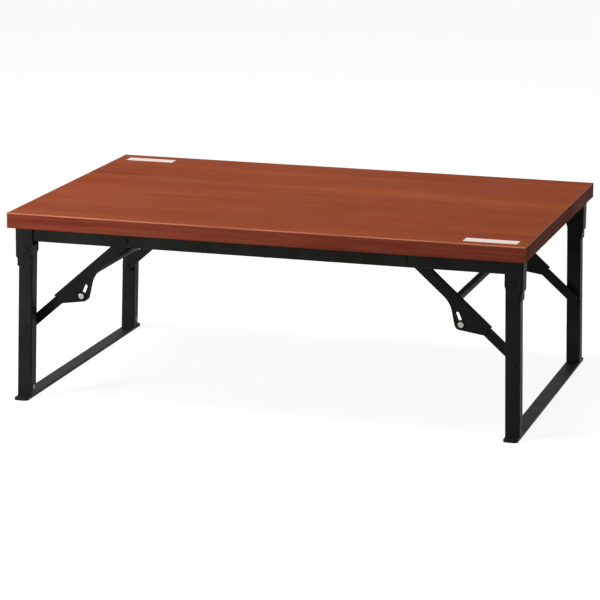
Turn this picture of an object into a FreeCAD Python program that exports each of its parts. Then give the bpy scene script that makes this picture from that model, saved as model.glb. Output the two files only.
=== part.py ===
import FreeCAD, Part
import Sketcher
import os

# Low folding table: a laminated top on a steel frame, with two leg frames that fold flat under it.
# Origin on the floor under the middle of the top, X along the length, Y to the back, Z up.
# The pieces of the front right corner are modelled, and the other corners are their mirror images.

SIZES = {
    # Whole table
    "table_length": 900,
    "table_depth": 600,
    "table_height": 330,
    # Top: chipboard core, decor laminate above, backing sheet below, edge bands all round
    "top_thickness": 27,
    "laminate_thickness": 0.8,
    "backing_thickness": 0.6,
    "band_thickness": 3,
    "arris_radius": 2.5,
    # Blank labels stuck on the top at two opposite corners
    "label_length": 90,
    "label_width": 26,
    "label_thickness": 0.3,
    "label_right_inset": 64.3,
    "label_front_inset": 31,
    "label_left_inset": 67.4,
    "label_back_inset": 44,
    # Frame of square steel tube
    "tube_width": 25,
    "tube_wall": 1.2,
    "tube_corner_radius": 2,
    "tube_inset": 22.5,
    "cross_rail_reach": 205,
    # Screws that hold the frame to the top
    "screw_radius": 2,
    "screw_head_radius": 4.5,
    "screw_head_height": 2.2,
    "screw_bite": 15,
    "screw_hole_play": 0.1,
    "rail_screw_reach": 110,
    "cross_screw_reach": 120,
    # Leg brackets: channels over the rail ends, each with a joggled stop tongue
    "bracket_inset": 7.8,
    "bracket_depth": 31,
    "bracket_height": 53,
    "bracket_wall": 2,
    "bracket_gap": 0.4,
    "bracket_corner_radius": 11,
    "bracket_bend_radius": 2.5,
    "tongue_width": 24.5,
    "tongue_drop": 16.5,
    "tongue_joggle": 3,
    "tongue_root": 5,
    "stop_gap": 0.2,
    # Leg frames
    "hinge_inset": 25.6,
    "hinge_drop": 40.5,
    "leg_lean": 1.35,
    "leg_top_rise": 10,
    "leg_top_radius": 4,
    "foot_thickness": 4.5,
    "foot_end_inset": 4,
    "foot_corner_radius": 6.5,
    "foot_edge_radius": 0.6,
    "bumper_radius": 5.5,
    "bumper_height": 1.2,
    "bumper_rise": 18.5,
    "bumper_rim_radius": 0.7,
    # Rivets
    "hinge_rivet_radius": 3.5,
    "hinge_head_radius": 5.5,
    "hinge_head_height": 1.6,
    "hinge_tail_height": 1.2,
    "stay_rivet_radius": 3,
    "stay_head_radius": 5,
    "stay_head_height": 1.5,
    "knee_head_height": 1,
    "shoulder_radius": 7,
    "rivet_play": 0.05,
    "head_round": 0.9,
    # Stays: a channel above the knee and a flat link below it
    "stay_reach": 180.9,
    "stay_drop": 13.3,
    "stay_foot_reach": 136,
    "stay_gap": 1.6,
    "link_wall": 1.6,
    "catch_gap": 1.6,
    "link_play": 0.3,
    "knee_along": 144.5,
    "knee_fall": 5,
    "upper_link_length": 178.5,
    "upper_link_rise": 11.5,
    "upper_link_fall": 7.3,
    "upper_link_end_radius": 9,
    "upper_link_bevel": 9,
    "link_bend_radius": 2,
    "nose_root_along": 101,
    "nose_root_radius": 45,
    "nose_tip_along": 137.1,
    "nose_tip_fall": 34.1,
    "nose_tip_radius": 10.5,
    "nose_end_radius": 3,
    "lower_link_thickness": 4.5,
    "lower_link_width": 16.5,
    "knee_eye_radius": 10,
    "knee_boss_radius": 6,
    "knee_boss_play": 0.2,
    # Sliding lock pins in the slots of the upper links
    "slot_width": 7.2,
    "slot_travel": 18.6,
    "slot_turn": 26.5,
    "catch_along": 139,
    "catch_fall": 20.9,
    "catch_radius": 3.3,
    "catch_head_radius": 5,
    "catch_head_height": 1.7,
    "catch_collar_radius": 4.5,
    "catch_collar_height": 1.8,
    "catch_dimple_radius": 1.7,
    "catch_dimple_depth": 0.9,
    "catch_washer_radius": 7.5,
    "catch_washer_height": 1,
    "catch_play": 0.2,
    # Cross bars of round tube that join the front and back stays
    "cross_bar_radius": 7.15,
    "cross_bar_wall": 1.2,
    "cross_bar_along": 104.2,
    "cross_bar_rise": 1.2,
    # How far a cutting shape runs past what it cuts
    "overrun": 1,
}

# Places worked out from the sizes. Those of the stay run along the line from its top pivot to its foot.
PLACES = {
    "half_length": "Size.table_length / 2",
    "half_depth": "Size.table_depth / 2",
    "underside": "Size.table_height - Size.top_thickness",
    "half_tube": "Size.tube_width / 2",
    "tube_front": "Size.tube_inset - Place.half_depth",
    "tube_back": "Place.tube_front + Size.tube_width",
    "tube_middle": "Place.tube_front + Place.half_tube",
    "rail_bottom": "Place.underside - Size.tube_width",
    "web_outer": "Place.half_length - Size.bracket_inset",
    "web_inner": "Place.web_outer - Size.bracket_wall",
    "bracket_front": "Place.tube_front - Size.bracket_gap - Size.bracket_wall",
    "bracket_back": "Place.tube_back + Size.bracket_gap + Size.bracket_wall",
    "bracket_bottom": "Place.underside - Size.bracket_height",
    "tongue_bottom": "Place.bracket_bottom - Size.tongue_drop",
    "hinge_x": "Place.half_length - Size.hinge_inset",
    "hinge_z": "Place.underside - Size.hinge_drop",
    "leg_run": "(Place.hinge_z - Size.foot_thickness) * tan(Size.leg_lean)",
    "leg_drop": "(Place.hinge_z - Size.foot_thickness) / cos(Size.leg_lean)",
    "leg_skew": "Place.half_tube * tan(Size.leg_lean)",
    "foot_x": "Place.hinge_x + Place.leg_run",
    "tongue_inner": "Place.hinge_x + Place.half_tube / cos(Size.leg_lean) + Size.stop_gap"
                    " + (Place.hinge_z - Place.tongue_bottom) * tan(Size.leg_lean)",
    "tongue_outer": "Place.tongue_inner + Size.bracket_wall",
    "bumper_drop": "(Place.hinge_z - Size.bumper_rise) / cos(Size.leg_lean)",
    "stay_x": "Place.hinge_x - Size.stay_reach",
    "stay_z": "Place.underside - Size.stay_drop",
    "stay_foot_x": "Place.hinge_x + Size.stay_foot_reach * sin(Size.leg_lean)",
    "stay_foot_z": "Place.hinge_z - Size.stay_foot_reach * cos(Size.leg_lean)",
    "stay_run": "Place.stay_foot_x - Place.stay_x",
    "stay_fall": "Place.stay_z - Place.stay_foot_z",
    "stay_angle": "atan(Place.stay_fall / Place.stay_run)",
    "stay_length": "sqrt(Place.stay_run ^ 2 + Place.stay_fall ^ 2)",
    "stay_front": "Place.bracket_back + Size.stay_gap",
    "lower_link_front": "Size.link_wall + Size.catch_gap",
    "stay_width": "Place.lower_link_front + Size.lower_link_thickness + Size.link_play + Size.link_wall",
    "stay_hole": "Size.stay_rivet_radius + Size.rivet_play",
    "shoulder_length": "Place.stay_front - Place.tube_back - Size.link_play",
    "cross_bar_length": "2 * (-Place.stay_front - Place.stay_width)",
}

ALONG_Y = FreeCAD.Rotation(FreeCAD.Vector(1, 0, 0), -90)
ALONG_MINUS_X = FreeCAD.Rotation(FreeCAD.Vector(0, 1, 0), -90)
ABOUT_Y = FreeCAD.Vector(0, 1, 0)
LEFT_FROM_RIGHT = FreeCAD.Vector(1, 0, 0)
BACK_FROM_FRONT = FreeCAD.Vector(0, 1, 0)

doc = FreeCAD.newDocument("low_table")
subparts = {}


def make_sheet(name, cells, mark=""):
    """Fill a spreadsheet, one alias a row."""
    sheet = doc.addObject("Spreadsheet::Sheet", name)
    for row, (alias, content) in enumerate(cells.items(), 1):
        sheet.set(f"A{row}", alias)
        sheet.setAlias(f"B{row}", alias)
        sheet.set(f"B{row}", mark + str(content))
    doc.recompute()
    return sheet


size_sheet = make_sheet("Size", SIZES)
place_sheet = make_sheet("Place", PLACES, "=")


def value(formula):
    """The number that a formula of sizes and places gives now."""
    result = place_sheet.evalExpression(formula)
    return float(getattr(result, "Value", result))


def bind_place(item, place):
    """Bind an object's position to three formulas."""
    for axis, formula in zip("xyz", place):
        item.setExpression("Placement.Base." + axis, formula)


def make_body(name, place=("0", "0", "0"), turn=None):
    """A body with its own frame, turned about Y by a formula if one is given."""
    body = doc.addObject("PartDesign::Body", name)
    body.Label = name
    if turn:
        body.Placement = FreeCAD.Placement(FreeCAD.Vector(), FreeCAD.Rotation(ABOUT_Y, 1))
        body.setExpression("Placement.Rotation.Angle", turn)
    bind_place(body, place)
    return body


def box(body, lengths, place, cut=False, turn=None):
    """Add or cut a box whose lowest corner is at place."""
    kind = "SubtractiveBox" if cut else "AdditiveBox"
    feature = body.newObject("PartDesign::" + kind, kind)
    if turn:
        feature.Placement = FreeCAD.Placement(FreeCAD.Vector(), FreeCAD.Rotation(ABOUT_Y, 1))
        feature.setExpression("Placement.Rotation.Angle", turn)
    for side, formula in zip(("Length", "Width", "Height"), lengths):
        feature.setExpression(side, formula)
    bind_place(feature, place)
    return feature


def rod(body, radius, length, place, cut=False, direction=ALONG_Y):
    """Add or cut a cylinder that starts at place."""
    kind = "SubtractiveCylinder" if cut else "AdditiveCylinder"
    feature = body.newObject("PartDesign::" + kind, kind)
    feature.Placement = FreeCAD.Placement(FreeCAD.Vector(), direction)
    feature.setExpression("Radius", radius)
    feature.setExpression("Height", length)
    bind_place(feature, place)
    return feature


def plate(body, corners, thickness):
    """Pad a straight-sided outline, drawn in X and Z, towards +Y."""
    plane = next(item for item in body.Origin.OriginFeatures if item.Role == "XZ_Plane")
    sketch = body.newObject("Sketcher::SketchObject", "Outline")
    sketch.AttachmentSupport = (plane, [""])
    sketch.MapMode = "FlatFace"
    points = [FreeCAD.Vector(value(x), value(z), 0) for x, z in corners]
    for start, end in zip(points, points[1:] + points[:1]):
        sketch.addGeometry(Part.LineSegment(start, end), False)
    for line in range(len(points)):
        after = (line + 1) % len(points)
        sketch.addConstraint(Sketcher.Constraint("Coincident", line, 2, after, 1))
    for line, (x, z) in enumerate(corners):
        for kind, formula in (("DistanceX", x), ("DistanceY", z)):
            index = sketch.addConstraint(Sketcher.Constraint(kind, -1, 1, line, 1, value(formula)))
            sketch.setExpression(f"Constraints[{index}]", formula)
    pad = body.newObject("PartDesign::Pad", "Pad")
    pad.Profile = sketch
    pad.Reversed = True
    pad.setExpression("Length", thickness)
    return pad


def round_edges(body, radius, wanted):
    """Fillet the edges of the body's last feature for which wanted(edge) is true."""
    doc.recompute()
    base = body.Tip
    names = [f"Edge{number}" for number, edge in enumerate(base.Shape.Edges, 1) if wanted(edge)]
    if not names:
        raise ValueError(f"{body.Label}: no edge to round")
    fillet = body.newObject("PartDesign::Fillet", "Fillet")
    fillet.Base = (base, names)
    fillet.setExpression("Radius", radius)
    return fillet


def straight_along(edge, axis):
    """Whether an edge is a straight one along axis 0, 1 or 2."""
    if not isinstance(edge.Curve, Part.Line):
        return False
    return abs(abs(edge.Curve.Direction[axis]) - 1) < 1e-6


def near(number, formula):
    return abs(number - value(formula)) < 1e-4


def middle(edge):
    return edge.BoundBox.Center


def keep(name, item):
    """Enter an object as a finished sub-part."""
    item.Label = name
    subparts[name] = item
    return item


def mirror(source, name, normal):
    copy = doc.addObject("Part::Mirroring", name)
    copy.Source = source
    copy.Base = FreeCAD.Vector()
    copy.Normal = normal
    return copy


def keep_pair(name, right):
    """Keep a right-hand piece and its left-hand mirror image."""
    keep("right_" + name, right)
    keep("left_" + name, mirror(right, "left_" + name, LEFT_FROM_RIGHT))


def keep_four(name, front_right):
    """Keep a front right piece and its three mirror images."""
    front_left = mirror(front_right, "front_left_" + name, LEFT_FROM_RIGHT)
    keep("front_right_" + name, front_right)
    keep("front_left_" + name, front_left)
    keep("back_right_" + name, mirror(front_right, "back_right_" + name, BACK_FROM_FRONT))
    keep("back_left_" + name, mirror(front_left, "back_left_" + name, BACK_FROM_FRONT))


def group(name, pieces):
    compound = doc.addObject("Part::Compound", name)
    compound.Links = pieces
    return compound


def keep_side_groups(name, front_right):
    """Keep a fastener of the right side as one group of front and back, and its left image."""
    back_right = mirror(front_right, "back_right_" + name, BACK_FROM_FRONT)
    keep_pair(name + "s", group("right_" + name + "s", [front_right, back_right]))


def make_top():
    """Core, laminate, backing sheet and four edge bands."""
    inner_length = "Size.table_length - 2 * Size.band_thickness"
    inner_depth = "Size.table_depth - 2 * Size.band_thickness"
    corner = ("Size.band_thickness - Place.half_length", "Size.band_thickness - Place.half_depth")
    core_bottom = "Place.underside + Size.backing_thickness"
    core_top = "Size.table_height - Size.laminate_thickness"

    core = make_body("top_core")
    box(core, (inner_length, inner_depth, f"{core_top} - ({core_bottom})"), (*corner, core_bottom))
    backing = make_body("backing_sheet")
    box(backing, (inner_length, inner_depth, "Size.backing_thickness"), (*corner, "Place.underside"))
    laminate = make_body("top_laminate")
    box(laminate, (inner_length, inner_depth, "Size.laminate_thickness"), (*corner, core_top))
    for sheet in (core, backing):
        for x, y in screw_places():
            rod(sheet, "Size.screw_radius + Size.screw_hole_play",
                "Size.screw_bite + Size.overrun + Size.screw_hole_play",
                (x, y, "Place.underside - Size.overrun"), cut=True, direction=FreeCAD.Rotation())
    for body in (core, backing, laminate):
        keep(body.Label, body)

    front = make_body("front_edge_band")
    box(front, ("Size.table_length", "Size.band_thickness", "Size.top_thickness"),
        ("-Place.half_length", "-Place.half_depth", "Place.underside"))
    round_edges(front, "Size.arris_radius",
                lambda edge: near(middle(edge).y, "-Place.half_depth"))
    right = make_body("right_edge_band")
    box(right, ("Size.band_thickness", inner_depth, "Size.top_thickness"),
        ("Place.half_length - Size.band_thickness", corner[1], "Place.underside"))
    round_edges(right, "Size.arris_radius",
                lambda edge: near(middle(edge).x, "Place.half_length") and straight_along(edge, 1))
    keep("front_edge_band", front)
    keep("back_edge_band", mirror(front, "back_edge_band", BACK_FROM_FRONT))
    keep_pair("edge_band", right)


def make_labels():
    lengths = ("Size.label_length", "Size.label_width", "Size.label_thickness")
    front = make_body("front_label")
    box(front, lengths, ("Place.half_length - Size.label_right_inset - Size.label_length / 2",
                         "Size.label_front_inset - Place.half_depth - Size.label_width / 2",
                         "Size.table_height"))
    back = make_body("back_label")
    box(back, lengths, ("Size.label_left_inset - Place.half_length - Size.label_length / 2",
                        "Place.half_depth - Size.label_back_inset - Size.label_width / 2",
                        "Size.table_height"))
    keep("front_label", front)
    keep("back_label", back)


def screw_places():
    """Where the frame's screws stand: three in each long rail and two in each cross rail."""
    along_rail = ("-Size.rail_screw_reach", "0", "Size.rail_screw_reach")
    long_rails = [(x, y) for x in along_rail for y in ("Place.tube_middle", "-Place.tube_middle")]
    cross_rails = [(x, y) for x in ("-Size.cross_rail_reach", "Size.cross_rail_reach")
                   for y in ("-Size.cross_screw_reach", "Size.cross_screw_reach")]
    return long_rails + cross_rails


def make_frame():
    """Two long rails and two cross rails of square tube, and their screws."""
    clear = "(Size.tube_width - 2 * Size.tube_wall)"
    through = "+ 2 * Size.overrun"
    front = make_body("front_rail")
    box(front, ("2 * Place.web_inner", "Size.tube_width", "Size.tube_width"),
        ("-Place.web_inner", "Place.tube_front", "Place.rail_bottom"))
    round_edges(front, "Size.tube_corner_radius", lambda edge: straight_along(edge, 0))
    box(front, ("2 * Place.web_inner" + through, clear, clear),
        ("-Place.web_inner - Size.overrun", "Place.tube_front + Size.tube_wall",
         "Place.rail_bottom + Size.tube_wall"), cut=True)
    for x in ("-Place.stay_x", "Place.stay_x"):
        rod(front, "Place.stay_hole", "Size.tube_width" + through,
            (x, "Place.tube_front - Size.overrun", "Place.stay_z"), cut=True)
    right = make_body("right_cross_rail")
    box(right, ("Size.tube_width", "-2 * Place.tube_back", "Size.tube_width"),
        ("Size.cross_rail_reach - Place.half_tube", "Place.tube_back", "Place.rail_bottom"))
    round_edges(right, "Size.tube_corner_radius", lambda edge: straight_along(edge, 1))
    box(right, (clear, "-2 * Place.tube_back" + through, clear),
        ("Size.cross_rail_reach - Place.half_tube + Size.tube_wall",
         "Place.tube_back - Size.overrun", "Place.rail_bottom + Size.tube_wall"), cut=True)
    hole = "Size.screw_radius + Size.screw_hole_play"
    for x, y in screw_places():
        if y == "Place.tube_middle":
            rod(front, hole, "Size.tube_width" + through,
                (x, y, "Place.rail_bottom - Size.overrun"), True, FreeCAD.Rotation())
        if x == "Size.cross_rail_reach":
            rod(right, hole, "Size.tube_width" + through,
                (x, y, "Place.rail_bottom - Size.overrun"), True, FreeCAD.Rotation())
    keep("front_rail", front)
    keep("back_rail", mirror(front, "back_rail", BACK_FROM_FRONT))
    keep_pair("cross_rail", right)

    screws = []
    for number, (x, y) in enumerate(screw_places(), 1):
        screw = make_body(f"frame_screw_{number}")
        rod(screw, "Size.screw_head_radius", "Size.screw_head_height",
            (x, y, "Place.rail_bottom - Size.screw_head_height"), direction=FreeCAD.Rotation())
        rod(screw, "Size.screw_radius", "Size.tube_width + Size.screw_bite",
            (x, y, "Place.rail_bottom"), direction=FreeCAD.Rotation())
        round_edges(screw, "Size.head_round",
                    lambda edge: near(middle(edge).z, "Place.rail_bottom - Size.screw_head_height"))
        screws.append(screw)
    keep("frame_screws", group("frame_screws", screws))


def make_brackets():
    """A channel over the rail end, open inwards, with a tongue that stops the open leg."""
    bracket = make_body("front_right_leg_bracket")
    width = "(Place.bracket_back - Place.bracket_front)"
    box(bracket, ("Size.bracket_depth", width, "Size.bracket_height"),
        ("Place.web_outer - Size.bracket_depth", "Place.bracket_front", "Place.bracket_bottom"))
    round_edges(bracket, "Size.bracket_corner_radius",
                lambda edge: straight_along(edge, 1) and near(middle(edge).z, "Place.bracket_bottom")
                and near(middle(edge).x, "Place.web_outer - Size.bracket_depth"))
    round_edges(bracket, "Size.bracket_bend_radius",
                lambda edge: straight_along(edge, 2) and near(middle(edge).x, "Place.web_outer"))
    box(bracket, ("Size.bracket_depth - Size.bracket_wall + Size.overrun",
                  width + " - 2 * Size.bracket_wall", "Size.bracket_height + 2 * Size.overrun"),
        ("Place.web_outer - Size.bracket_depth - Size.overrun",
         "Place.bracket_front + Size.bracket_wall", "Place.bracket_bottom - Size.overrun"), cut=True)
    rod(bracket, "Size.hinge_rivet_radius + Size.rivet_play", width + " + 2 * Size.overrun",
        ("Place.hinge_x", "Place.bracket_front - Size.overrun", "Place.hinge_z"), cut=True)
    tongue = make_body("tongue", ("0", "Place.tube_middle - Size.tongue_width / 2", "0"))
    root = "Place.bracket_bottom + Size.tongue_root"
    step = "Place.bracket_bottom - Size.tongue_joggle"
    plate(tongue, [("Place.web_inner", root), ("Place.web_outer", root),
                   ("Place.web_outer", "Place.bracket_bottom"), ("Place.tongue_outer", step),
                   ("Place.tongue_outer", "Place.tongue_bottom"),
                   ("Place.tongue_inner", "Place.tongue_bottom"), ("Place.tongue_inner", step),
                   ("Place.web_inner", "Place.bracket_bottom")], "Size.tongue_width")
    whole = doc.addObject("Part::Fuse", "leg_bracket_with_tongue")
    whole.Base = bracket
    whole.Tool = tongue
    whole.Refine = True
    keep_four("leg_bracket", whole)


def leg_frame_body(name):
    """A body with its origin at the leg hinge, in the tube's middle, and Z along the leg."""
    return make_body(name, ("Place.hinge_x", "Place.tube_middle", "Place.hinge_z"), "-Size.leg_lean")


def make_legs():
    """Two tubes and a flat foot bar for each leg frame, and the bumpers."""
    leg = leg_frame_body("front_right_leg_tube")
    outer = "Place.half_tube"
    plate(leg, [("-" + outer, "Size.leg_top_rise"), (outer, "Size.leg_top_rise"),
                (outer, "-Place.leg_drop - Place.leg_skew"),
                ("-" + outer, "Place.leg_skew - Place.leg_drop")], "Size.tube_width")
    round_edges(leg, "Size.leg_top_radius",
                lambda edge: straight_along(edge, 1) and near(middle(edge).z, "Size.leg_top_rise"))
    round_edges(leg, "Size.tube_corner_radius", lambda edge: straight_along(edge, 2))
    clear = "(Size.tube_width - 2 * Size.tube_wall)"
    box(leg, (clear, clear, "Place.leg_drop + Size.leg_top_rise + 2 * Place.half_tube"),
        ("Size.tube_wall - Place.half_tube", "Size.tube_wall",
         "-Place.leg_drop - Place.half_tube"), cut=True)
    rod(leg, "Size.hinge_rivet_radius + Size.rivet_play", "Size.tube_width + 2 * Size.overrun",
        ("0", "-Size.overrun", "0"), cut=True)
    rod(leg, "Place.stay_hole", "Size.tube_width + 2 * Size.overrun",
        ("0", "-Size.overrun", "-Size.stay_foot_reach"), cut=True)
    leg.setExpression("Placement.Base.y", "Place.tube_front")
    keep_four("leg_tube", leg)

    foot = make_body("right_foot_bar")
    foot_length = "(Size.table_depth - 2 * Size.foot_end_inset)"
    box(foot, ("Size.tube_width", foot_length, "Size.foot_thickness"),
        ("Place.foot_x - Place.half_tube", f"-{foot_length} / 2", "0"))
    round_edges(foot, "Size.foot_corner_radius", lambda edge: straight_along(edge, 2))
    round_edges(foot, "Size.foot_edge_radius",
                lambda edge: near(middle(edge).z, "Size.foot_thickness"))
    keep_pair("foot_bar", foot)

    bumper = leg_frame_body("front_right_bumper")
    rod(bumper, "Size.bumper_radius", "Size.bumper_height",
        ("-Place.half_tube", "0", "-Place.bumper_drop"), direction=ALONG_MINUS_X)
    round_edges(bumper, "Size.bumper_rim_radius",
                lambda edge: near(middle(edge).x, "-Place.half_tube - Size.bumper_height"))
    keep_four("bumper", bumper)


def make_rivet(name, place, stages, rounded):
    """A rivet along Y from a list of radius and length, with the rims at the rounded Y places."""
    rivet = make_body(name, place)
    reached = "0"
    for radius, length in stages:
        rod(rivet, radius, length, ("0", reached, "0"))
        reached = f"{reached} + {length}"
    round_edges(rivet, "Size.head_round",
                lambda edge: any(near(middle(edge).y, end) for end in rounded(reached))
                and isinstance(edge.Curve, Part.Circle))
    return rivet


def both_ends(reached):
    return ("0", reached)


def first_end(reached):
    return ("0",)


def last_end(reached):
    return (reached,)


def make_rivets():
    """Hinge rivets, stay pivots and knee rivets."""
    hinge = make_rivet(
        "front_right_hinge_rivet",
        ("Place.hinge_x", "Place.bracket_front - Size.hinge_head_height", "Place.hinge_z"),
        [("Size.hinge_head_radius", "Size.hinge_head_height"),
         ("Size.hinge_rivet_radius", "(Place.bracket_back - Place.bracket_front)"),
         ("Size.hinge_head_radius", "Size.hinge_tail_height")], both_ends)
    hinge_left = mirror(hinge, "front_left_hinge_rivet", LEFT_FROM_RIGHT)
    keep("leg_hinge_rivets", group("leg_hinge_rivets", [
        hinge, hinge_left, mirror(hinge, "back_right_hinge_rivet", BACK_FROM_FRONT),
        mirror(hinge_left, "back_left_hinge_rivet", BACK_FROM_FRONT)]))

    top = make_rivet(
        "front_right_stay_top_rivet",
        ("Place.stay_x", "Place.tube_front - Size.stay_head_height", "Place.stay_z"),
        [("Size.stay_head_radius", "Size.stay_head_height"),
         ("Size.stay_rivet_radius", "Size.tube_width"),
         ("Size.shoulder_radius", "Place.shoulder_length"),
         ("Size.stay_rivet_radius", "(Place.stay_width + 2 * Size.link_play)"),
         ("Size.stay_head_radius", "Size.stay_head_height")], both_ends)
    top_left = mirror(top, "front_left_stay_top_rivet", LEFT_FROM_RIGHT)
    keep("stay_top_rivets", group("stay_top_rivets", [
        top, top_left, mirror(top, "back_right_stay_top_rivet", BACK_FROM_FRONT),
        mirror(top_left, "back_left_stay_top_rivet", BACK_FROM_FRONT)]))

    foot = make_rivet(
        "front_right_stay_foot_rivet",
        ("Place.stay_foot_x", "Place.tube_front - Size.stay_head_height", "Place.stay_foot_z"),
        [("Size.stay_head_radius", "Size.stay_head_height"),
         ("Size.stay_rivet_radius", "Size.tube_width")], first_end)
    keep_side_groups("stay_foot_rivet", foot)

    stud = make_rivet(
        "front_right_link_stud",
        ("Place.stay_foot_x", "Place.tube_back + Size.link_play", "Place.stay_foot_z"),
        [("Size.shoulder_radius",
          "(Place.stay_front + Place.lower_link_front - Place.tube_back - Size.link_play)"),
         ("Size.stay_rivet_radius", "Size.lower_link_thickness"),
         ("Size.stay_head_radius", "Size.stay_head_height")], last_end)
    keep_four("link_stud", stud)

    knee = stay_body("front_right_knee_rivet")
    knee_place = ("Size.knee_along", "-Size.knee_head_height", "-Size.knee_fall")
    rod(knee, "Size.stay_head_radius", "Size.knee_head_height", knee_place)
    rod(knee, "Size.stay_rivet_radius", "Place.stay_width", ("Size.knee_along", "0", "-Size.knee_fall"))
    rod(knee, "Size.stay_head_radius", "Size.knee_head_height",
        ("Size.knee_along", "Place.stay_width", "-Size.knee_fall"))
    ends = ("-Size.knee_head_height", "Place.stay_width + Size.knee_head_height")
    round_edges(knee, "Size.head_round", lambda edge: isinstance(edge.Curve, Part.Circle)
                and any(near(middle(edge).y, end) for end in ends))
    keep_side_groups("knee_rivet", knee)


def stay_body(name):
    """A body with its origin at the stay's top pivot, on its front face, and X along the stay."""
    return make_body(name, ("Place.stay_x", "Place.stay_front", "Place.stay_z"), "Place.stay_angle")


def make_upper_link():
    """A channel with a nose that carries the slot of the lock pin."""
    link = stay_body("front_right_upper_link")
    start = "-Size.upper_link_end_radius"
    plate(link, [(start, "Size.upper_link_rise - Size.upper_link_bevel"),
                 (start + " + Size.upper_link_bevel", "Size.upper_link_rise"),
                 ("Size.upper_link_length", "Size.upper_link_rise"),
                 ("Size.upper_link_length", "-Size.upper_link_fall"),
                 ("Size.nose_tip_along", "-Size.nose_tip_fall"),
                 ("Size.nose_root_along", "-Size.upper_link_fall"),
                 (start, "-Size.upper_link_fall")], "Place.stay_width")
    round_edges(link, "Size.link_bend_radius",
                lambda edge: straight_along(edge, 0) and near(middle(edge).z, "Size.upper_link_rise"))
    for radius, x, z in (
            ("Size.upper_link_end_radius", start, "-Size.upper_link_fall"),
            ("Size.nose_tip_radius", "Size.nose_tip_along", "-Size.nose_tip_fall"),
            ("Size.nose_root_radius", "Size.nose_root_along", "-Size.upper_link_fall"),
            ("Size.nose_end_radius", "Size.upper_link_length", "-Size.upper_link_fall")):
        round_edges(link, radius, lambda edge: straight_along(edge, 1)
                    and near(middle(edge).x, x) and near(middle(edge).z, z))
    reach = "Size.upper_link_length + Size.upper_link_end_radius + 2 * Size.overrun"
    box(link, (reach, "Place.stay_width - 2 * Size.link_wall",
               "Size.upper_link_rise - Size.link_wall + Size.nose_tip_fall"),
        ("-Size.upper_link_end_radius - Size.overrun", "Size.link_wall", "-Size.nose_tip_fall"), cut=True)
    past = "Place.stay_width + 2 * Size.overrun"
    for x, z in (("0", "0"), ("Size.knee_along", "-Size.knee_fall")):
        rod(link, "Place.stay_hole", past, (x, "-Size.overrun", z), cut=True)
    slot_radius = "Size.slot_width / 2"
    far_x = "Size.catch_along - Size.slot_travel * cos(Size.slot_turn)"
    far_z = "Size.slot_travel * sin(Size.slot_turn) - Size.catch_fall"
    rod(link, slot_radius, past, ("Size.catch_along", "-Size.overrun", "-Size.catch_fall"), cut=True)
    rod(link, slot_radius, past, (far_x, "-Size.overrun", far_z), cut=True)
    box(link, ("Size.slot_travel", past, "Size.slot_width"),
        (f"{far_x} - Size.slot_width / 2 * sin(Size.slot_turn)", "-Size.overrun",
         f"{far_z} - Size.slot_width / 2 * cos(Size.slot_turn)"), cut=True, turn="Size.slot_turn")
    keep_four("upper_link", link)


def make_lower_link():
    """A flat link with a round end at the leg and an eye and a low boss at the knee."""
    link = stay_body("front_right_lower_link")
    half = "Size.lower_link_width / 2"
    box(link, ("Place.stay_length - Size.knee_along", "Size.lower_link_thickness",
               "Size.lower_link_width"), ("Size.knee_along", "Place.lower_link_front", "-" + half))
    rod(link, half, "Size.lower_link_thickness", ("Place.stay_length", "Place.lower_link_front", "0"))
    knee = ("Size.knee_along", "Place.lower_link_front", "-Size.knee_fall")
    rod(link, "Size.knee_eye_radius", "Size.lower_link_thickness", knee)
    boss_height = "(Size.catch_gap - Size.knee_boss_play)"
    rod(link, "Size.knee_boss_radius", boss_height,
        (knee[0], f"Place.lower_link_front - {boss_height}", knee[2]))
    for x, z in (("Place.stay_length", "0"), ("Size.knee_along", "-Size.knee_fall")):
        rod(link, "Place.stay_hole", "Place.stay_width + 2 * Size.overrun",
            (x, "-Size.overrun", z), cut=True)
    keep_four("lower_link", link)


def make_lock_pin():
    """A headed pin that slides in the outer cheek's slot, held by a washer behind the cheek."""
    pin = stay_body("front_right_lock_pin")
    x, z = "Size.catch_along", "-Size.catch_fall"
    collar_front = "-Size.catch_play - Size.catch_collar_height"
    head_front = collar_front + " - Size.catch_head_height"
    rod(pin, "Size.catch_head_radius", "Size.catch_head_height", (x, head_front, z))
    rod(pin, "Size.catch_collar_radius", "Size.catch_collar_height", (x, collar_front, z))
    rod(pin, "Size.catch_radius", "Size.link_wall + 2 * Size.catch_play", (x, "-Size.catch_play", z))
    rod(pin, "Size.catch_washer_radius", "Size.catch_washer_height",
        (x, "Size.link_wall + Size.catch_play", z))
    round_edges(pin, "Size.head_round", lambda edge: near(middle(edge).y, head_front)
                and isinstance(edge.Curve, Part.Circle))
    rod(pin, "Size.catch_dimple_radius", "Size.catch_dimple_depth + Size.overrun",
        (x, head_front + " - Size.overrun", z), cut=True)
    keep_four("lock_pin", pin)


def make_cross_bar():
    """A round tube between the inner cheeks of the front and back upper links."""
    bar = stay_body("right_cross_bar")
    x, z = "Size.cross_bar_along", "Size.cross_bar_rise"
    rod(bar, "Size.cross_bar_radius", "Place.cross_bar_length", (x, "Place.stay_width", z))
    rod(bar, "Size.cross_bar_radius - Size.cross_bar_wall", "Place.cross_bar_length + 2 * Size.overrun",
        (x, "Place.stay_width - Size.overrun", z), cut=True)
    keep_pair("cross_bar", bar)


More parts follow.
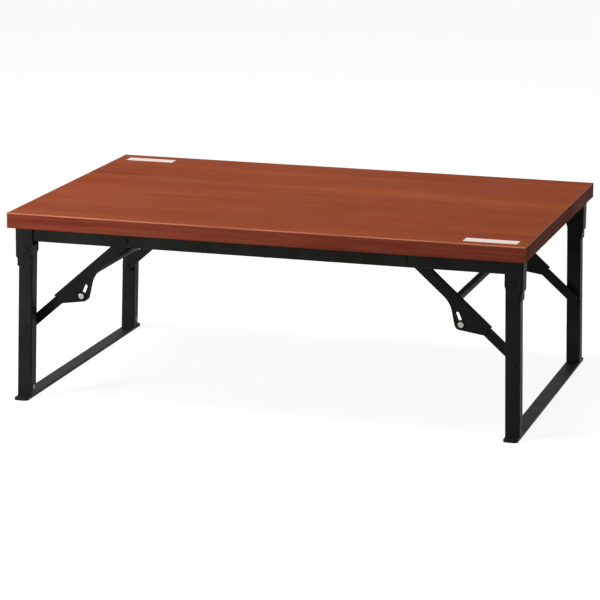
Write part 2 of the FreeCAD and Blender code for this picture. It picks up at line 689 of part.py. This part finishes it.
def check_and_export():
    """Stop on any failed feature or bad shape, then write every sub-part."""
    doc.recompute()
    for item in doc.Objects:
        if "Invalid" in item.State or "Error" in item.State:
            raise RuntimeError(f"{item.Name} ({item.Label}) failed: {item.State}")
    for name, item in subparts.items():
        shape = item.Shape
        if shape.isNull() or not shape.isValid() or not shape.Solids:
            raise RuntimeError(f"{name} has no valid solid")
        if shape.Volume <= 0:
            raise RuntimeError(f"{name} has no volume")
    os.makedirs("parts", exist_ok=True)
    for name, item in subparts.items():
        item.Shape.exportStep(f"parts/{name}.step")
        print(f"{name}: {len(item.Shape.Solids)} solid(s), {item.Shape.Volume:.1f} mm3")


make_top()
make_labels()
make_frame()
make_brackets()
make_legs()
make_rivets()
make_upper_link()
make_lower_link()
make_lock_pin()
make_cross_bar()
check_and_export()
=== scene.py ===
import math
import random

import bmesh
import bpy
from mathutils import Matrix, Vector


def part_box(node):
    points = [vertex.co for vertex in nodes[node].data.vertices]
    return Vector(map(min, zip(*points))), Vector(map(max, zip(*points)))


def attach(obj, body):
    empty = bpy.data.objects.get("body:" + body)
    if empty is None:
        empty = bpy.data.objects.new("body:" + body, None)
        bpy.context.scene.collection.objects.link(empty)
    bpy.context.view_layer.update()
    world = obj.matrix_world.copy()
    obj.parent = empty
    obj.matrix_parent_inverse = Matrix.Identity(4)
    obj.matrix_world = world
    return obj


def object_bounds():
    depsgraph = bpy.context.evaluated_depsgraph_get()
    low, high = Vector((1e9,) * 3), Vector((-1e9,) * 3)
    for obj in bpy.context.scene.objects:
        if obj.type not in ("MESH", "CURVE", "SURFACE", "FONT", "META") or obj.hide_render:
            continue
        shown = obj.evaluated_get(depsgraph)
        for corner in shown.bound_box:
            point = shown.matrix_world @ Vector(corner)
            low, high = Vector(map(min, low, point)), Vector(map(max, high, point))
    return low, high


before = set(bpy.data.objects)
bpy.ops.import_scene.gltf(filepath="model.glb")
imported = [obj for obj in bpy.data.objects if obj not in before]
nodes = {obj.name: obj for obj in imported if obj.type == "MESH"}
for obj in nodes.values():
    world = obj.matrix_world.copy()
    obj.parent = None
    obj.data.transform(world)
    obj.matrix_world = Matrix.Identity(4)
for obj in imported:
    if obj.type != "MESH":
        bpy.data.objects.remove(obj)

# Low folding table: materials for the solids, weld beads, lights and camera. Lengths are in metres.

MM = 0.001
SIDES = {"left": -1, "right": 1}
ROWS = ("front", "back")
cad_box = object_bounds()


# Colours as seen in plain light, red green blue from 0 to 255

TOP_TONES = ((126, 54, 34), (147, 69, 38), (168, 84, 42))
BAND_TONES = ((98, 38, 32), (137, 64, 46), (158, 83, 57))
PORE_COLOUR = (74, 32, 24)
# The pale colour of the painted highlight along the top's outer edges
ARRIS_HIGHLIGHT_COLOUR = (196, 128, 98)
CHIP_TONES = ((150, 112, 74), (190, 156, 112), (214, 186, 142))
CHIP_DIRT = (120, 84, 52)
BACKING_TONES = ((146, 136, 122), (164, 155, 141), (178, 170, 157))
PAPER_TONES = ((226, 211, 199), (240, 227, 218), (248, 238, 232))
ZINC_TONES = ((150, 150, 143), (206, 206, 199))
PIN_TONES = ((132, 129, 121), (186, 183, 175))
PIN_BLACK = (22, 22, 21)
BUMPER_TONES = ((158, 159, 152), (184, 185, 178))

# Black coats: the darkest and lightest tone, the roughness and the specular level

COATS = {
    "frame": ((28, 29, 27), (39, 40, 38), 0.5, 0.045),
    "stay": ((21, 21, 20), (29, 29, 28), 0.46, 0.065),
    # The bar coat is the same black enamel made darker and less glossy: painted shade on the cross
    # bars and on the weld beads, which take it too
    "bar": ((19, 19, 18), (27, 27, 26), 0.5, 0.06),
    "rivet": ((20, 20, 19), (29, 29, 28), 0.5, 0.08),
}
COAT_SHEEN_SPREAD = 0.07

# Grain of the printed wood: length along it and width across it for each size of feature

BROAD_GRAIN = (0.85, 0.085)
FINE_GRAIN = (0.07, 0.0017)
PORE_GRAIN = (0.011, 0.0005)
TOP_STREAKS = (0.3, 0.008)
BAND_STREAKS = (0.24, 0.0045)

# Shares of broad grain, streaks and fine grain in the tone of the wood

TOP_SHARES = (0.5, 0.28, 0.22)
BAND_SHARES = (0.42, 0.36, 0.22)
TOP_GLOSS = 0.005
BAND_GLOSS = 0.006

# How far the streaks wander sideways and downwards, and how many times in a metre

WANDER_SIDEWAYS = 0.018
WANDER_DOWN = 0.004
WANDERS = 2.3

# The painted highlight along the top's edges, and how far from the table's middle the bright pin
# heads start

TOP_HEIGHT = 330 * MM
ARRIS_HIGHLIGHT_REACH = 2.8 * MM
PIN_HEAD_FROM = 250.45 * MM


def srgb(colour):
    """A colour from 0 to 255 as the linear values that a shader takes."""
    def linear(part):
        part = part / 255
        return part / 12.92 if part <= 0.04045 else ((part + 0.055) / 1.055) ** 2.4
    return (*[linear(part) for part in colour], 1)


class Look:
    """A material whose nodes are added one at a time."""

    def __init__(self, name, **plain):
        self.material = bpy.data.materials.new(name)
        self.material.use_nodes = True
        self.tree = self.material.node_tree
        self.surface = self.tree.nodes["Principled BSDF"]
        self.place = self.add("TexCoord").outputs["Object"]
        for socket, amount in plain.items():
            self.surface.inputs[socket.replace("_", " ")].default_value = amount

    def add(self, kind, links=(), **settings):
        """A node with plain settings and with sockets linked or set by name or number."""
        made = self.tree.nodes.new("ShaderNode" + kind)
        for name, setting in settings.items():
            setattr(made, name, setting)
        for socket, source in dict(links).items():
            self.feed(made.inputs[socket], source)
        return made

    def feed(self, socket, source):
        """Link a socket to another one, or set it to a plain value."""
        if isinstance(source, bpy.types.NodeSocket):
            self.tree.links.new(source, socket)
        else:
            socket.default_value = source

    def scaled(self, scale, place=None):
        """Object coordinates, multiplied by one number or by one for each axis."""
        along = scale if isinstance(scale, (tuple, list)) else (scale, scale, scale)
        links = {"Vector": place or self.place, "Scale": along}
        return self.add("Mapping", links).outputs["Vector"]

    def noise(self, scale, detail=3, roughness=0.5, place=None):
        """Soft noise from 0 to 1; scale is in features per metre."""
        links = {"Vector": self.scaled(scale, place), "Scale": 1, "Detail": detail,
                 "Roughness": roughness}
        return self.add("TexNoise", links).outputs["Fac"]

    def cells(self, scale):
        """Cells of random shade, as the texture node that makes them."""
        return self.add("TexVoronoi", {"Vector": self.scaled(scale), "Scale": 1})

    def cell_shade(self, cells):
        """The random shade of each cell, from 0 to 1."""
        return self.add("SeparateColor", {"Color": cells.outputs["Color"]}).outputs[0]

    def ramp(self, factor, places, tones):
        """A colour that runs through tones, each at its own place from 0 to 1."""
        made = self.add("ValToRGB", {"Fac": factor})
        band = made.color_ramp.elements
        while len(band) < len(tones):
            band.new(0.5)
        for element, at, tone in zip(band, places, tones):
            element.position = at
            element.color = srgb(tone)
        return made.outputs["Color"]

    def span(self, source, low, high, to_low=0, to_high=1):
        """A value moved from one range to another and held within it."""
        links = {"Value": source, "From Min": low, "From Max": high,
                 "To Min": to_low, "To Max": to_high}
        return self.add("MapRange", links).outputs["Result"]

    def maths(self, kind, first, second=0):
        """One step of arithmetic."""
        return self.add("Math", {0: first, 1: second}, operation=kind).outputs["Value"]

    def weighed(self, *parts):
        """The sum of values, each times its share."""
        products = [self.maths("MULTIPLY", part, share) for part, share in parts]
        total = products[0]
        for product in products[1:]:
            total = self.maths("ADD", total, product)
        return total

    def blend(self, factor, first, second):
        """Two colours mixed by a factor."""
        made = self.add("Mix", data_type="RGBA", blend_type="MIX")
        sockets = {item.identifier: item for item in made.inputs}
        self.feed(sockets["Factor_Float"], factor)
        self.feed(sockets["A_Color"], first)
        self.feed(sockets["B_Color"], second)
        return next(item for item in made.outputs if item.identifier == "Result_Color")

    def bump(self, height, rise, strength):
        """A normal from a height of 0 to 1, with the height's full rise in metres."""
        links = {"Height": height, "Distance": rise, "Strength": strength}
        return self.add("Bump", links).outputs["Normal"]

    def finish(self, colour, roughness, normal, metal=None):
        """Link what varies to the shader and give the material."""
        varying = {"Base Color": colour, "Roughness": roughness, "Normal": normal, "Metallic": metal}
        for socket, source in varying.items():
            if source is not None:
                self.tree.links.new(source, self.surface.inputs[socket])
        return self.material


def edge_line(look):
    """One along the top's outer edges and zero on its faces, for the pale painted highlight line."""
    parts = look.add("SeparateXYZ", {"Vector": look.place}).outputs
    near = []
    for axis, reach in (("X", cad_box[1].x), ("Y", cad_box[1].y), ("Z", TOP_HEIGHT)):
        distance = look.maths("ABSOLUTE", parts[axis])
        near.append(look.span(distance, reach - ARRIS_HIGHLIGHT_REACH, reach))
    pairs = ((0, 1), (1, 2), (0, 2))
    products = [look.maths("MULTIPLY", near[first], near[second]) for first, second in pairs]
    most = look.maths("MAXIMUM", look.maths("MAXIMUM", products[0], products[1]), products[2])
    return look.span(most, 0.12, 0.45)


def wood(name, tones, across, gloss, offset, streaks, shares):
    """Printed straight grain: across is 0 for grain that runs along Y and 1 for grain along X."""
    look = Look(name, Specular_IOR_Level=gloss)

    def grain(size, **more):
        """Noise stretched along the grain, from the length and width of its features."""
        length, width = size
        scale = [1 / length, 1 / length, 1 / width]
        scale[across] = 1 / width
        return look.noise(scale, place=waved, **more)

    # The streaks wander a little to and fro over their length
    shift = look.add("Mapping", {"Vector": look.place, "Location": offset}).outputs["Vector"]
    wander = look.maths("SUBTRACT", look.noise(WANDERS, detail=1, place=shift), 0.5)
    push = look.add("CombineXYZ", {across: look.maths("MULTIPLY", wander, WANDER_SIDEWAYS),
                                   2: look.maths("MULTIPLY", wander, WANDER_DOWN)}).outputs["Vector"]
    waved = look.add("VectorMath", {0: shift, 1: push}, operation="ADD").outputs["Vector"]

    # Tone of the wood, with dark pores
    broad = grain(BROAD_GRAIN, detail=2)
    streaked = grain(streaks, detail=4, roughness=0.6)
    fine = grain(FINE_GRAIN, detail=3, roughness=0.7)
    pores = look.span(grain(PORE_GRAIN, detail=1), 0.64, 0.74)
    tone = look.weighed(*zip((broad, streaked, fine), shares))
    printed = look.ramp(tone, (0.32, 0.5, 0.68), tones)
    pored = look.blend(look.maths("MULTIPLY", pores, 0.4), printed, srgb(PORE_COLOUR))

    # A painted highlight along the edges, and a roughness and relief that follow smears and pores
    smear = look.noise(9)
    arris_highlight = look.maths("MULTIPLY", edge_line(look), look.span(smear, 0.25, 0.6, 0.45, 0.9))
    colour = look.blend(arris_highlight, pored, srgb(ARRIS_HIGHLIGHT_COLOUR))
    smooth = look.span(smear, 0.3, 0.7, 0.44, 0.56)
    rough = look.maths("ADD", smooth, look.maths("MULTIPLY", pores, 0.12))
    height = look.maths("SUBTRACT", look.maths("MULTIPLY", fine, 0.3), pores)
    return look.finish(colour, rough, look.bump(height, rise=0.03 * MM, strength=0.6))


def chipboard():
    """Pressed wood chips, dirty in places."""
    look = Look("chipboard", Specular_IOR_Level=0.2)
    chips = look.cells((420, 420, 900))
    colour = look.ramp(look.cell_shade(chips), (0, 0.5, 1), CHIP_TONES)
    dirt = look.noise(60)
    mixed = look.blend(look.span(dirt, 0.4, 0.7, 0, 0.4), colour, srgb(CHIP_DIRT))
    rough = look.span(dirt, 0.3, 0.7, 0.75, 0.9)
    relief = look.bump(chips.outputs["Distance"], rise=0.3 * MM, strength=0.5)
    return look.finish(mixed, rough, relief)


def backing():
    """Plain sheet under the top, with a faint paper fibre and a sheen that varies."""
    look = Look("backing", Specular_IOR_Level=0.3)
    fibre = look.noise((140, 420, 300), roughness=0.65)
    cloud = look.noise(3)
    tone = look.weighed((fibre, 0.5), (cloud, 0.5))
    colour = look.ramp(tone, (0.36, 0.5, 0.66), BACKING_TONES)
    rough = look.span(cloud, 0.35, 0.65, 0.5, 0.62)
    return look.finish(colour, rough, look.bump(fibre, rise=0.04 * MM, strength=0.5))


def paper():
    """Off-white blank label with a faint fibre."""
    look = Look("paper", Specular_IOR_Level=0.35)
    fibre = look.noise((500, 800, 800), detail=4, roughness=0.6)
    cloud = look.noise((18, 30, 30), detail=2)
    tone = look.weighed((fibre, 0.4), (cloud, 0.6))
    colour = look.ramp(tone, (0.35, 0.52, 0.68), PAPER_TONES)
    rough = look.span(cloud, 0.3, 0.7, 0.42, 0.6)
    return look.finish(colour, rough, look.bump(fibre, rise=0.03 * MM, strength=0.5))


def black_coat(name, dark, light, rough, gloss):
    """Black baked enamel: a fine orange peel and small changes of tone and sheen."""
    look = Look(name, Specular_IOR_Level=gloss)
    cloud = look.noise(14, detail=4, roughness=0.6)
    fleck = look.noise(900, detail=2)
    tone = look.weighed((cloud, 0.75), (fleck, 0.25))
    colour = look.ramp(tone, (0.38, 0.62), (dark, light))
    sheen = look.span(cloud, 0.3, 0.7, rough - COAT_SHEEN_SPREAD, rough + COAT_SHEEN_SPREAD)
    peel = look.noise(520, detail=2)
    return look.finish(colour, sheen, look.bump(peel, rise=0.05 * MM, strength=0.45))


def plated():
    """Zinc-plated steel with a crystal-like mottle and fine scratches."""
    look = Look("zinc_plate", Metallic=1)
    shade = look.cell_shade(look.cells(700))
    scratch = look.noise((3000, 300, 3000))
    tone = look.weighed((shade, 0.5), (scratch, 0.5))
    colour = look.ramp(tone, (0.2, 0.8), ZINC_TONES)
    rough = look.span(tone, 0.2, 0.8, 0.28, 0.44)
    return look.finish(colour, rough, look.bump(scratch, rise=0.02 * MM, strength=0.4))


def pin_finish():
    """Bright turned head; the collar and washer, nearer to the table's middle, are plain black."""
    look = Look("bright_pin_head")
    depth = look.add("SeparateXYZ", {"Vector": look.place}).outputs["Y"]
    head = look.maths("GREATER_THAN", look.maths("ABSOLUTE", depth), PIN_HEAD_FROM)
    turned = look.noise((1500, 6000, 1500))
    cloud = look.noise(400, detail=2)
    bright = look.ramp(turned, (0.3, 0.7), PIN_TONES)
    colour = look.blend(head, srgb(PIN_BLACK), bright)
    rough = look.span(cloud, 0.3, 0.7, 0.3, 0.5)
    return look.finish(colour, rough, look.bump(turned, rise=0.02 * MM, strength=0.4), head)


def soft_plastic():
    """Light grey moulded bumper."""
    look = Look("grey_plastic", Specular_IOR_Level=0.4)
    cloud = look.noise(220)
    grit = look.noise(2600, detail=2)
    colour = look.ramp(cloud, (0.35, 0.65), BUMPER_TONES)
    rough = look.span(cloud, 0.3, 0.7, 0.45, 0.6)
    return look.finish(colour, rough, look.bump(grit, rise=0.04 * MM, strength=0.5))


def make_materials():
    """Every material, by a short key."""
    made = {
        "top": wood("wood_top", TOP_TONES, across=1, gloss=TOP_GLOSS, offset=(0.31, 0.07, 0),
                    streaks=TOP_STREAKS, shares=TOP_SHARES),
        "long_band": wood("wood_long_band", BAND_TONES, across=1, gloss=BAND_GLOSS,
                          offset=(1.4, 0.3, 0.2), streaks=BAND_STREAKS, shares=BAND_SHARES),
        "short_band": wood("wood_short_band", BAND_TONES, across=0, gloss=BAND_GLOSS,
                           offset=(0.2, 2.1, 0.5), streaks=BAND_STREAKS, shares=BAND_SHARES),
        "core": chipboard(),
        "backing": backing(),
        "paper": paper(),
    }
    for key, coat in COATS.items():
        made[key] = black_coat(f"black_{key}_coat", *coat)
    made["zinc"] = plated()
    made["pin"] = pin_finish()
    made["bumper"] = soft_plastic()
    return made


# Which nodes take each material, by the end of their name

DRESSED = {
    "top": ("top_laminate",),
    "long_band": ("front_edge_band", "back_edge_band"),
    "short_band": ("left_edge_band", "right_edge_band"),
    "core": ("top_core",),
    "backing": ("backing_sheet",),
    "paper": ("label",),
    "zinc": ("frame_screws",),
    "frame": ("rail", "leg_bracket", "leg_tube", "foot_bar"),
    "stay": ("upper_link", "lower_link"),
    "bar": ("cross_bar",),
    "rivet": ("rivets", "link_stud"),
    "pin": ("lock_pin",),
    "bumper": ("bumper",),
}


def dress(materials):
    """Give every node its material."""
    for name, item in nodes.items():
        key = next(key for key, endings in DRESSED.items() if name.endswith(endings))
        item.data.materials.clear()
        item.data.materials.append(materials[key])


# Weld beads: a row of drops, each made of rings that narrow from the first to the last

FRAME_WELD_RADIUS = 1.4 * MM
BAR_WELD_RADIUS = 1.1 * MM
DROP_SPACING_IN_RADII = 2.2
FEWEST_DROPS = 3
RINGS_PER_DROP = 4
SPOKES = 10
NARROWING = 0.16
SCATTER = 0.05
BLUNTNESS = 8
END_SHARE = 0.12

# Where the beads run

LEG_WIDTH = 25 * MM
FOOT_WELD_LENGTH = 24.5 * MM
RAIL_WELD_END_GAP = 2 * MM
RAIL_WELD_SIDE_GAP = 1 * MM

# Starts of the random draws; the sign of the side is added

FOOT_SEED = 11
RAIL_SEED = 31
BAR_SEED = 51


def drop_size(radius, number, rng):
    """Radius of a bead at one of its rings."""
    narrowed = 1 - NARROWING * (number % RINGS_PER_DROP) / RINGS_PER_DROP
    return radius * narrowed * rng.uniform(1 - SCATTER, 1 + SCATTER)


def add_ring(mesh, middle, across, up, size):
    """The points of one ring, on a circle through two directions."""
    ring = []
    for spoke in range(SPOKES):
        angle = 2 * math.pi * spoke / SPOKES
        outward = across * math.cos(angle) + up * math.sin(angle)
        ring.append(mesh.verts.new(middle + outward * size))
    return ring


def add_skin(mesh, rings):
    """The faces between each ring and the next."""
    for before, after in zip(rings, rings[1:]):
        for spoke in range(SPOKES):
            following = (spoke + 1) % SPOKES
            mesh.faces.new((before[spoke], before[following], after[following], after[spoke]))


def straight_bead(mesh, start, end, radius, rng):
    """A weld bead from start to end, closed and blunt at both ends."""
    start, end = Vector(start), Vector(end)
    run = end - start
    count = max(FEWEST_DROPS, round(run.length / (DROP_SPACING_IN_RADII * radius))) * RINGS_PER_DROP
    along = run.normalized()
    side = along.orthogonal().normalized()
    up = along.cross(side)
    rings = []
    for number in range(count + 1):
        part = number / count
        blunt = math.sqrt(max(0, 1 - (2 * part - 1) ** BLUNTNESS))
        size = drop_size(radius, number, rng) * min(1, blunt + END_SHARE)
        rings.append(add_ring(mesh, start + run * part, side, up, size))
    add_skin(mesh, rings)
    mesh.faces.new(rings[0][::-1])
    mesh.faces.new(rings[-1])


def round_bead(mesh, middle, reach, radius, rng):
    """A weld bead round the end of a tube that runs along Y."""
    length = 2 * math.pi * reach
    count = round(length / (DROP_SPACING_IN_RADII * radius)) * RINGS_PER_DROP
    rings = []
    for number in range(count):
        turn = 2 * math.pi * number / count
        outward = Vector((math.cos(turn), 0, math.sin(turn)))
        size = drop_size(radius, number, rng)
        rings.append(add_ring(mesh, middle + outward * reach, outward, Vector((0, 1, 0)), size))
    add_skin(mesh, rings + rings[:1])


def add_welds(name, body, radius, material, seed, runs=(), circles=()):
    """One piece of weld beads, riding on a body."""
    rng = random.Random(seed)
    mesh = bmesh.new()
    for start, end in runs:
        straight_bead(mesh, start, end, radius, rng)
    for middle, reach in circles:
        round_bead(mesh, middle, reach, radius, rng)
    bmesh.ops.recalc_face_normals(mesh, faces=mesh.faces[:])
    data = bpy.data.meshes.new(name)
    mesh.to_mesh(data)
    mesh.free()
    for face in data.polygons:
        face.use_smooth = True
    data.materials.append(material)
    piece = bpy.data.objects.new(name, data)
    bpy.context.scene.collection.objects.link(piece)
    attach(piece, body)


def foot_weld_runs(side, sign):
    """Along both faces of each leg tube of a side, where it stands on the foot bar."""
    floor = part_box(f"{side}_foot_bar")[1].z
    runs = []
    for row in ROWS:
        low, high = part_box(f"{row}_{side}_leg_tube")
        inner = high.x - LEG_WIDTH if sign > 0 else low.x + LEG_WIDTH
        for y in (low.y, high.y):
            runs.append(((inner, y, floor), (inner + sign * FOOT_WELD_LENGTH, y, floor)))
    return runs


def rail_weld_runs(side):
    """Up both sides and along the underside of each end of a cross rail."""
    low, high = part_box(f"{side}_cross_rail")
    runs = []
    for y in (low.y, high.y):
        for x in (low.x, high.x):
            runs.append(((x, y, low.z + RAIL_WELD_END_GAP), (x, y, high.z - RAIL_WELD_END_GAP)))
        runs.append(((low.x + RAIL_WELD_SIDE_GAP, y, low.z), (high.x - RAIL_WELD_SIDE_GAP, y, low.z)))
    return runs


def bar_weld_circles(side):
    """Round both ends of a cross bar."""
    low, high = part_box(f"{side}_cross_bar")
    middle = (low + high) / 2
    reach = (high.x - low.x) / 2
    return [(Vector((middle.x, y, middle.z)), reach) for y in (low.y, high.y)]


def make_welds(material):
    """Beads where the tubes and bars of the frame are joined."""
    for side, sign in SIDES.items():
        add_welds(f"{side}_foot_welds", f"{side}_leg_frame", FRAME_WELD_RADIUS, material,
                  FOOT_SEED + sign, runs=foot_weld_runs(side, sign))
        add_welds(f"{side}_rail_welds", "table_frame", FRAME_WELD_RADIUS, material,
                  RAIL_SEED + sign, runs=rail_weld_runs(side))
        add_welds(f"{side}_bar_welds", f"{side}_brace", BAR_WELD_RADIUS, material,
                  BAR_SEED + sign, circles=bar_weld_circles(side))


# Camera fitted to the photo: angles in degrees, the focal length in pixels of a photo 600 wide,
# the sensor in millimetres and the rest in metres

CAMERA_YAW = -16.1031
CAMERA_PITCH = 13.0013
CAMERA_ROLL = 0.5197
CAMERA_DISTANCE = 4.96569
CAMERA_RIGHT = -0.014948
CAMERA_UP = -0.019996
AIM_HEIGHT = 0.165
FOCAL_PIXELS = 2807.9
PHOTO_WIDTH = 600
SENSOR_WIDTH = 36
FARTHEST_SEEN = 100


def make_camera():
    """The camera that sees the table as the photo does."""
    yaw, pitch, roll = (math.radians(a) for a in (CAMERA_YAW, CAMERA_PITCH, CAMERA_ROLL))
    level = math.cos(pitch)
    ahead = Vector((math.sin(yaw) * level, math.cos(yaw) * level, -math.sin(pitch)))
    right = Vector((math.cos(yaw), -math.sin(yaw), 0))
    up = right.cross(ahead)
    aim = Vector((0, 0, AIM_HEIGHT)) + right * CAMERA_RIGHT + up * CAMERA_UP
    turned_right = right * math.cos(roll) + up * math.sin(roll)
    turned_up = up * math.cos(roll) - right * math.sin(roll)
    data = bpy.data.cameras.new("camera")
    data.sensor_width = SENSOR_WIDTH
    data.lens = SENSOR_WIDTH * FOCAL_PIXELS / PHOTO_WIDTH
    data.clip_end = FARTHEST_SEEN
    camera = bpy.data.objects.new("camera", data)
    turn = Matrix((turned_right, turned_up, -ahead)).transposed().to_4x4()
    camera.matrix_world = Matrix.Translation(aim - ahead * CAMERA_DISTANCE) @ turn
    bpy.context.scene.collection.objects.link(camera)
    bpy.context.scene.camera = camera


# Light on the object, and how the backdrop looks to the camera

WHITE = (1, 1, 1, 1)
SKY_LIGHT = 0.18
FLOOR_COLOUR = 0.24
FLOOR_GLOW = 0.9
FLOOR_HALF = 14
KEY_LAMP = {"place": (-0.8, -0.35, 3.1), "aim": (0, 0, 0.25), "size": 1.6, "power": 66}
FRONT_LAMP = {"place": (-1.75, -1.65, 0.52), "aim": (-0.3, 0, 0.2), "size": 0.7, "power": 37}


def seen_as_background(tree):
    """One for camera, glossy and transmission rays, and zero for the light that falls on things."""
    path = tree.nodes.new("ShaderNodeLightPath").outputs
    total = path["Is Camera Ray"]
    for kind in ("Is Glossy Ray", "Is Transmission Ray"):
        add = tree.nodes.new("ShaderNodeMath")
        add.operation = "MAXIMUM"
        tree.links.new(total, add.inputs[0])
        tree.links.new(path[kind], add.inputs[1])
        total = add.outputs["Value"]
    return total


def make_world():
    """A dim sky for the light, shown as white."""
    world = bpy.data.worlds.new("world")
    world.use_nodes = True
    tree = world.node_tree
    sky = tree.nodes["Background"]
    sky.inputs["Strength"].default_value = SKY_LIGHT
    sky.inputs["Color"].default_value = WHITE
    backdrop = tree.nodes.new("ShaderNodeBackground")
    backdrop.inputs["Color"].default_value = WHITE
    choice = tree.nodes.new("ShaderNodeMixShader")
    tree.links.new(seen_as_background(tree), choice.inputs["Fac"])
    tree.links.new(sky.outputs["Background"], choice.inputs[1])
    tree.links.new(backdrop.outputs["Background"], choice.inputs[2])
    tree.links.new(choice.outputs["Shader"], tree.nodes["World Output"].inputs["Surface"])
    bpy.context.scene.world = world


def floor_paint():
    """A pale matt paint that glows enough to show white where no shadow falls."""
    material = bpy.data.materials.new("pale_floor")
    material.use_nodes = True
    tree = material.node_tree
    paint = tree.nodes["Principled BSDF"]
    paint.inputs["Base Color"].default_value = (FLOOR_COLOUR, FLOOR_COLOUR, FLOOR_COLOUR, 1)
    paint.inputs["Roughness"].default_value = 1
    paint.inputs["Specular IOR Level"].default_value = 0
    glow = tree.nodes.new("ShaderNodeEmission")
    strength = tree.nodes.new("ShaderNodeMath")
    strength.operation = "MULTIPLY"
    strength.inputs[1].default_value = FLOOR_GLOW
    tree.links.new(seen_as_background(tree), strength.inputs[0])
    tree.links.new(strength.outputs["Value"], glow.inputs["Strength"])
    both = tree.nodes.new("ShaderNodeAddShader")
    tree.links.new(paint.outputs["BSDF"], both.inputs[0])
    tree.links.new(glow.outputs["Emission"], both.inputs[1])
    tree.links.new(both.outputs["Shader"], tree.nodes["Material Output"].inputs["Surface"])
    return material


def make_floor():
    """A wide floor that keeps the table's shadow."""
    half = FLOOR_HALF
    data = bpy.data.meshes.new("floor")
    corners = [(-half, -half, 0), (half, -half, 0), (half, half, 0), (-half, half, 0)]
    data.from_pydata(corners, [], [(0, 1, 2, 3)])
    data.materials.append(floor_paint())
    floor = bpy.data.objects.new("floor", data)
    bpy.context.scene.collection.objects.link(floor)


def make_lamp(name, place, aim, size, power):
    """A round lamp that the camera doesn't see."""
    data = bpy.data.lights.new(name, "AREA")
    data.shape = "DISK"
    data.size = size
    data.energy = power
    lamp = bpy.data.objects.new(name, data)
    lamp.location = place
    lamp.rotation_mode = "QUATERNION"
    lamp.rotation_quaternion = (Vector(aim) - Vector(place)).to_track_quat("-Z", "Y")
    lamp.visible_camera = False
    bpy.context.scene.collection.objects.link(lamp)


bpy.context.scene.view_settings.view_transform = "Standard"
materials = make_materials()
dress(materials)
# The weld beads take the bar coat and its painted shade
make_welds(materials["bar"])
make_camera()
make_world()
make_floor()
make_lamp("key_lamp", **KEY_LAMP)
make_lamp("front_lamp", **FRONT_LAMP)
